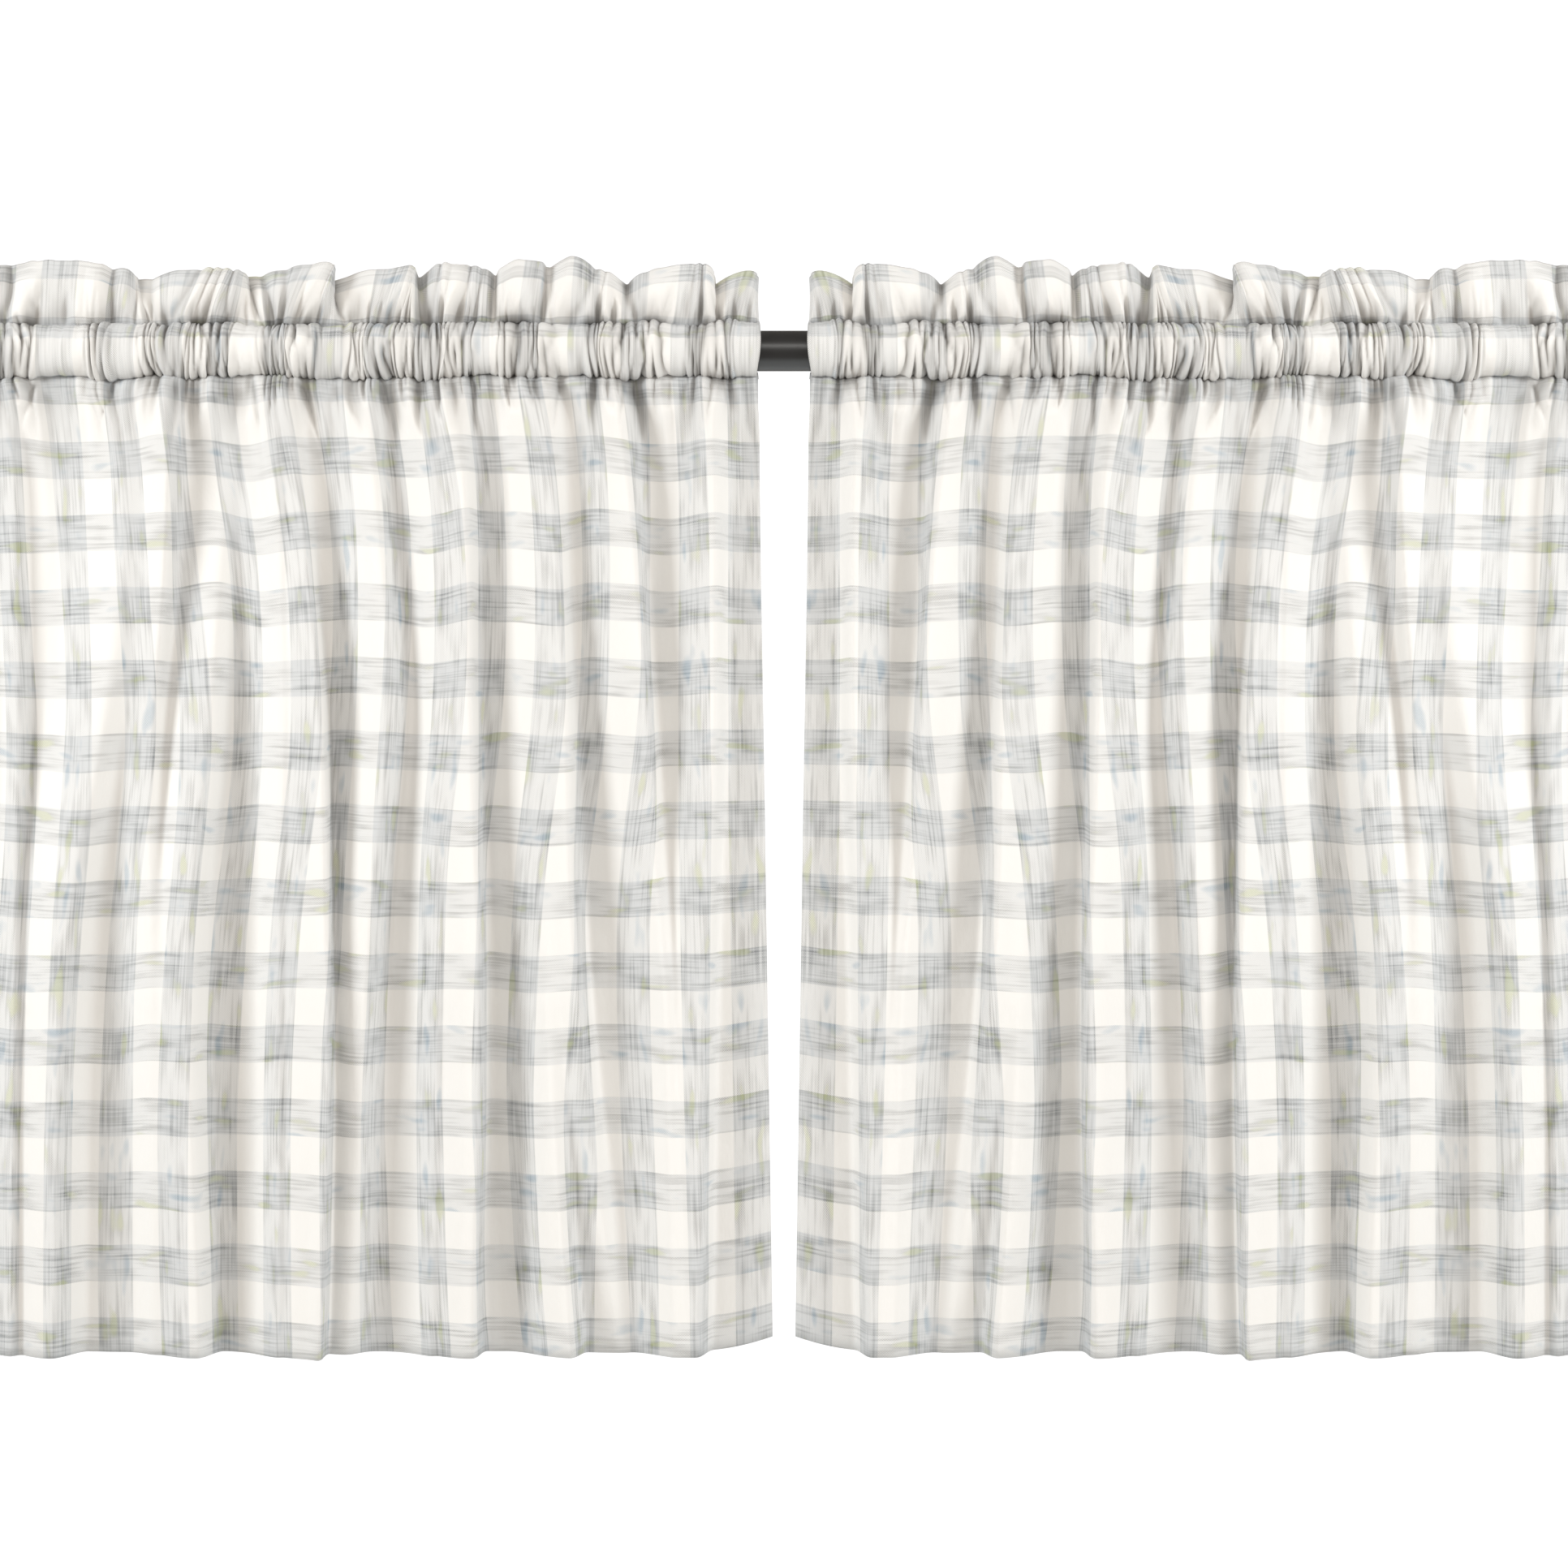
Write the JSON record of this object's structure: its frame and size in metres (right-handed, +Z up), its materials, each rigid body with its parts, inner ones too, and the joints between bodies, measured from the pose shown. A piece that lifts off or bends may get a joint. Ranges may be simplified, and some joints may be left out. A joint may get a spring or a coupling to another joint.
{
  "type": "cafe curtain pair on a round rod",
  "caption": "Gathered rod-pocket cafe curtains with a ruffled heading, in woven gingham cotton, on a plain round rod.",
  "frame": {"origin": "centre of the rod's left end face", "axes": "+X along the rod towards its right end, +Y towards the wall or window behind, -Y the side the curtains face, +Z up"},
  "size_m": [1.43, 0.0423, 0.7601],
  "materials": {
    "gingham_cotton": "matt plain weave, woven check in soft grey and cream",
    "black_rod": "satin black powder coat"
  },
  "bodies": {
    "root": {"curtain_left": "gingham_cotton", "curtain_right": "gingham_cotton", "rod": "black_rod"}
  },
  "joints": []
}
